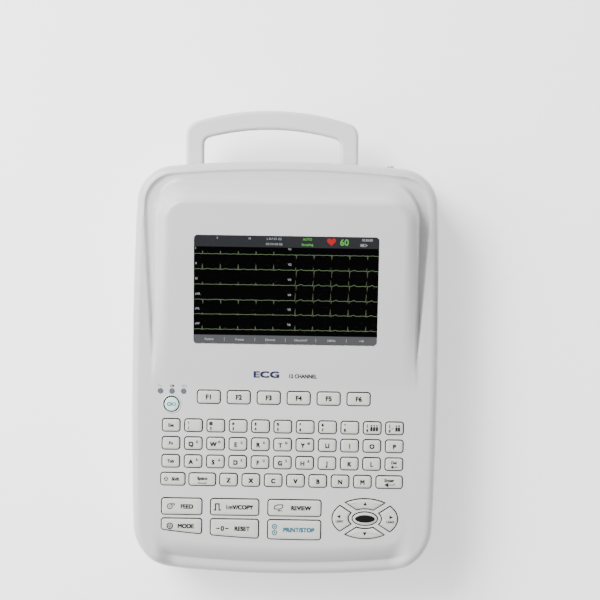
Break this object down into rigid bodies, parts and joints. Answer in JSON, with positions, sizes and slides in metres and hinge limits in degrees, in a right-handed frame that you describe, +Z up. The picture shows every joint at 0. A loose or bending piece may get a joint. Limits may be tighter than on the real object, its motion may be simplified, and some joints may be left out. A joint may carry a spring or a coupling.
{
  "type": "portable ecg machine",
  "caption": "Flat portable ECG recorder with a tilted colour screen, a full rubber keypad, a pull-out carrying handle and a side drawer for chart paper.",
  "frame": {"origin": "middle of the machine's footprint with the handle pulled out, on the surface that its feet stand on", "axes": "+Z up out of the front panel, +Y toward the carrying handle, +X to the right of a person reading the screen"},
  "size_m": [0.258, 0.394, 0.084],
  "materials": {
    "housing_plastic": "fine matt texture",
    "handle_plastic": "fine matt texture",
    "key_rubber": "matt silicone",
    "power_rubber": "matt silicone",
    "foot_rubber": "matt",
    "roller_rubber": "ground",
    "window": "clear polished sheet over a dark display",
    "display": "polished",
    "lamp": "clear",
    "steel": "plated",
    "aluminium": "satin",
    "brass": "satin",
    "board": "solder-masked glass fibre",
    "black_plastic": "moulded",
    "gear_plastic": "moulded acetal",
    "paper": "thermal chart paper",
    "battery": "shrink sleeve"
  },
  "bodies": {
    "housing": {"top_cover": "housing_plastic", "bottom_cover": "housing_plastic", "rubber_feet": "foot_rubber", "housing_screws": "steel", "screen_window": "window", "display_panel": "display", "display_frame": "steel", "keypad_mat": "key_rubber", "keypad_board": "board", "light_pipes": "lamp", "handle_guide": "black_plastic", "print_head": "aluminium", "head_springs": "steel", "head_bracket": "steel", "feed_motor": "steel", "chassis_plate": "steel", "main_board": "board", "ecg_amplifier": "board", "battery_pack": "battery", "battery_cover": "housing_plastic", "power_supply": "board", "speaker": "black_plastic", "mains_inlet": "black_plastic", "ground_stud": "brass", "patient_socket": "steel", "port_board": "steel"},
    "handle": {"carry_handle": "handle_plastic"},
    "drawer": {"drawer_front": "housing_plastic", "drawer_tray": "housing_plastic", "paper_pack": "paper", "platen_bushes": "brass"},
    "platen": {"platen_roller": "roller_rubber", "platen_shaft": "steel", "platen_gear": "gear_plastic"},
    "idler": {"idler_gear": "gear_plastic"},
    "pinion": {"motor_pinion": "brass"},
    "button": {"release_button": "housing_plastic"},
    "latch": {"latch_lever": "gear_plastic"},
    "power_key_cap": {"power_key": "power_rubber"},
    "f1_key_cap": {"f1_key": "key_rubber"},
    "f2_key_cap": {"f2_key": "key_rubber"},
    "f3_key_cap": {"f3_key": "key_rubber"},
    "f4_key_cap": {"f4_key": "key_rubber"},
    "f5_key_cap": {"f5_key": "key_rubber"},
    "f6_key_cap": {"f6_key": "key_rubber"},
    "feed_key_cap": {"feed_key": "key_rubber"},
    "copy_key_cap": {"copy_key": "key_rubber"},
    "review_key_cap": {"review_key": "key_rubber"},
    "mode_key_cap": {"mode_key": "key_rubber"},
    "reset_key_cap": {"reset_key": "key_rubber"},
    "print_key_cap": {"print_key": "key_rubber"},
    "lead_up_key_cap": {"lead_up_key": "key_rubber"},
    "lead_down_key_cap": {"lead_down_key": "key_rubber"},
    "lead_left_key_cap": {"lead_left_key": "key_rubber"},
    "lead_right_key_cap": {"lead_right_key": "key_rubber"},
    "lead_centre_key_cap": {"lead_centre_key": "key_rubber"},
    "digit_keys_row": {"digit_keys": "key_rubber"},
    "upper_letter_keys_row": {"upper_letter_keys": "key_rubber"},
    "middle_letter_keys_row": {"middle_letter_keys": "key_rubber"},
    "lower_letter_keys_row": {"lower_letter_keys": "key_rubber"}
  },
  "joints": [
    {"name": "handle_slide", "type": "slide", "parent": "housing", "child": "handle", "axis": [0, 1, 0], "range_m": [-0.04, 0]},
    {"name": "drawer_slide", "type": "slide", "parent": "housing", "child": "drawer", "axis": [-1, 0, 0], "range_m": [0, 0.155]},
    {"name": "platen_spin", "type": "hinge", "parent": "drawer", "child": "platen", "pos_m": [-0.108, 0.1081, 0.0256], "axis": [0, 1, 0], "continuous": true},
    {"name": "idler_spin", "type": "hinge", "parent": "housing", "child": "idler", "pos_m": [-0.09265, 0.1081, 0.0256], "axis": [0, 1, 0], "continuous": true},
    {"name": "motor_spin", "type": "hinge", "parent": "housing", "child": "pinion", "pos_m": [-0.08217, 0.1081, 0.01799], "axis": [0, 1, 0], "continuous": true},
    {"name": "release_press", "type": "slide", "parent": "housing", "child": "button", "axis": [1, 0, 0], "range_m": [0, 0.0025], "stiffness_N_per_m": 600},
    {"name": "latch_turn", "type": "hinge", "parent": "housing", "child": "latch", "pos_m": [-0.109, -0.1195, 0.012], "axis": [0, 0, 1], "range_deg": [0, 14.4]},
    {"name": "power_key_press", "type": "slide", "parent": "housing", "child": "power_key_cap", "axis": [0, 0, -1], "range_m": [0, 0.0012], "stiffness_N_per_m": 800},
    {"name": "f1_key_press", "type": "slide", "parent": "housing", "child": "f1_key_cap", "axis": [0, 0, -1], "range_m": [0, 0.0012], "stiffness_N_per_m": 800},
    {"name": "f2_key_press", "type": "slide", "parent": "housing", "child": "f2_key_cap", "axis": [0, 0, -1], "range_m": [0, 0.0012], "stiffness_N_per_m": 800},
    {"name": "f3_key_press", "type": "slide", "parent": "housing", "child": "f3_key_cap", "axis": [0, 0, -1], "range_m": [0, 0.0012], "stiffness_N_per_m": 800},
    {"name": "f4_key_press", "type": "slide", "parent": "housing", "child": "f4_key_cap", "axis": [0, 0, -1], "range_m": [0, 0.0012], "stiffness_N_per_m": 800},
    {"name": "f5_key_press", "type": "slide", "parent": "housing", "child": "f5_key_cap", "axis": [0, 0, -1], "range_m": [0, 0.0012], "stiffness_N_per_m": 800},
    {"name": "f6_key_press", "type": "slide", "parent": "housing", "child": "f6_key_cap", "axis": [0, 0, -1], "range_m": [0, 0.0012], "stiffness_N_per_m": 800},
    {"name": "feed_key_press", "type": "slide", "parent": "housing", "child": "feed_key_cap", "axis": [0, 0, -1], "range_m": [0, 0.0012], "stiffness_N_per_m": 800},
    {"name": "copy_key_press", "type": "slide", "parent": "housing", "child": "copy_key_cap", "axis": [0, 0, -1], "range_m": [0, 0.0012], "stiffness_N_per_m": 800},
    {"name": "review_key_press", "type": "slide", "parent": "housing", "child": "review_key_cap", "axis": [0, 0, -1], "range_m": [0, 0.0012], "stiffness_N_per_m": 800},
    {"name": "mode_key_press", "type": "slide", "parent": "housing", "child": "mode_key_cap", "axis": [0, 0, -1], "range_m": [0, 0.0012], "stiffness_N_per_m": 800},
    {"name": "reset_key_press", "type": "slide", "parent": "housing", "child": "reset_key_cap", "axis": [0, 0, -1], "range_m": [0, 0.0012], "stiffness_N_per_m": 800},
    {"name": "print_key_press", "type": "slide", "parent": "housing", "child": "print_key_cap", "axis": [0, 0, -1], "range_m": [0, 0.0012], "stiffness_N_per_m": 800},
    {"name": "lead_up_key_press", "type": "slide", "parent": "housing", "child": "lead_up_key_cap", "axis": [0, 0, -1], "range_m": [0, 0.0012], "stiffness_N_per_m": 800},
    {"name": "lead_down_key_press", "type": "slide", "parent": "housing", "child": "lead_down_key_cap", "axis": [0, 0, -1], "range_m": [0, 0.0012], "stiffness_N_per_m": 800},
    {"name": "lead_left_key_press", "type": "slide", "parent": "housing", "child": "lead_left_key_cap", "axis": [0, 0, -1], "range_m": [0, 0.0012], "stiffness_N_per_m": 800},
    {"name": "lead_right_key_press", "type": "slide", "parent": "housing", "child": "lead_right_key_cap", "axis": [0, 0, -1], "range_m": [0, 0.0012], "stiffness_N_per_m": 800},
    {"name": "lead_centre_key_press", "type": "slide", "parent": "housing", "child": "lead_centre_key_cap", "axis": [0, 0, -1], "range_m": [0, 0.0012], "stiffness_N_per_m": 800},
    {"name": "digit_keys_press", "type": "slide", "parent": "housing", "child": "digit_keys_row", "axis": [0, 0, -1], "range_m": [0, 0.0012], "stiffness_N_per_m": 800},
    {"name": "upper_letter_keys_press", "type": "slide", "parent": "housing", "child": "upper_letter_keys_row", "axis": [0, 0, -1], "range_m": [0, 0.0012], "stiffness_N_per_m": 800},
    {"name": "middle_letter_keys_press", "type": "slide", "parent": "housing", "child": "middle_letter_keys_row", "axis": [0, 0, -1], "range_m": [0, 0.0012], "stiffness_N_per_m": 800},
    {"name": "lower_letter_keys_press", "type": "slide", "parent": "housing", "child": "lower_letter_keys_row", "axis": [0, 0, -1], "range_m": [0, 0.0012], "stiffness_N_per_m": 800}
  ],
  "couplings": [
    {"joint": "idler_spin", "follows": "platen_spin", "ratio": -0.9},
    {"joint": "motor_spin", "follows": "platen_spin", "ratio": 1.5},
    {"joint": "latch_turn", "follows": "release_press", "rad_per_m": 100}
  ]
}
